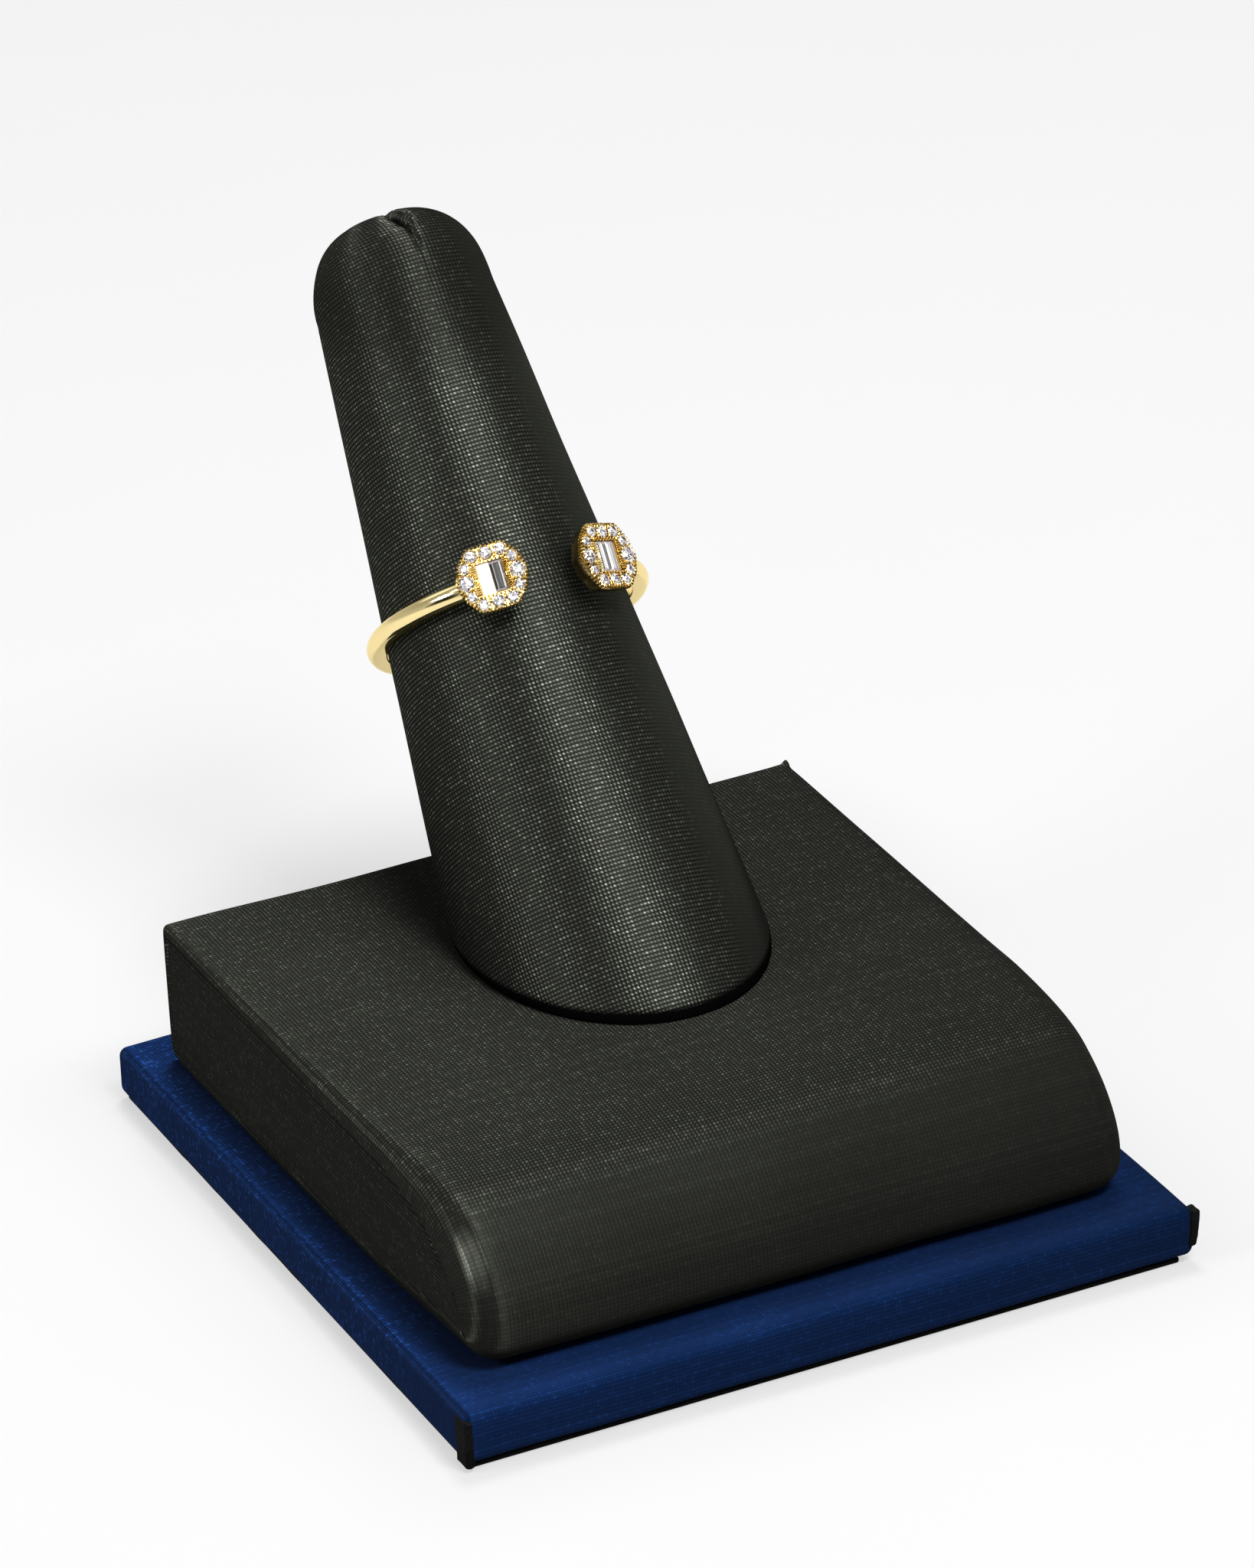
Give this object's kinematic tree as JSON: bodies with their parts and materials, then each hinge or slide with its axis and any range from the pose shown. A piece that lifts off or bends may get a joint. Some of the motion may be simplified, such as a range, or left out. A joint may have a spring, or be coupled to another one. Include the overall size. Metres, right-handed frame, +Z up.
{
  "type": "adjustable open cuff ring on a finger display stand",
  "caption": "Open cuff ring with a hexagonal stone cluster at each end, worn on a cloth-covered display stand with a slanted finger cone, a rounded pad and a flat base.",
  "frame": {"origin": "middle of the flat underside of the stand's base", "axes": "+Z up, the ring's opening and the pad's rounded front face -Y, the finger cone leans back to +Y"},
  "size_m": [0.0573, 0.0762, 0.0619],
  "materials": {
    "yellow_gold": "polished yellow gold",
    "clear_stone": "faceted clear colourless stone",
    "finger_cloth": "black plain weave with a slight sheen",
    "pad_cloth": "black plain weave with a slight sheen",
    "blue_cloth": "navy plain weave with a slight sheen",
    "black_felt": "dull black felt"
  },
  "bodies": {
    "root": {"base_underside": "black_felt", "base_board": "blue_cloth", "corner_left": "black_felt", "corner_right": "black_felt", "pad": "pad_cloth", "finger": "finger_cloth", "cuff": "yellow_gold", "baguette_left_1": "clear_stone", "baguette_left_2": "clear_stone", "baguette_right_1": "clear_stone", "baguette_right_2": "clear_stone", "stone_left_1": "clear_stone", "stone_left_2": "clear_stone", "stone_left_3": "clear_stone", "stone_left_4": "clear_stone", "stone_left_5": "clear_stone", "stone_left_6": "clear_stone", "stone_left_7": "clear_stone", "stone_left_8": "clear_stone", "stone_left_9": "clear_stone", "stone_left_10": "clear_stone", "stone_left_11": "clear_stone", "stone_left_12": "clear_stone", "stone_right_1": "clear_stone", "stone_right_2": "clear_stone", "stone_right_3": "clear_stone", "stone_right_4": "clear_stone", "stone_right_5": "clear_stone", "stone_right_6": "clear_stone", "stone_right_7": "clear_stone", "stone_right_8": "clear_stone", "stone_right_9": "clear_stone", "stone_right_10": "clear_stone", "stone_right_11": "clear_stone", "stone_right_12": "clear_stone"}
  },
  "joints": []
}
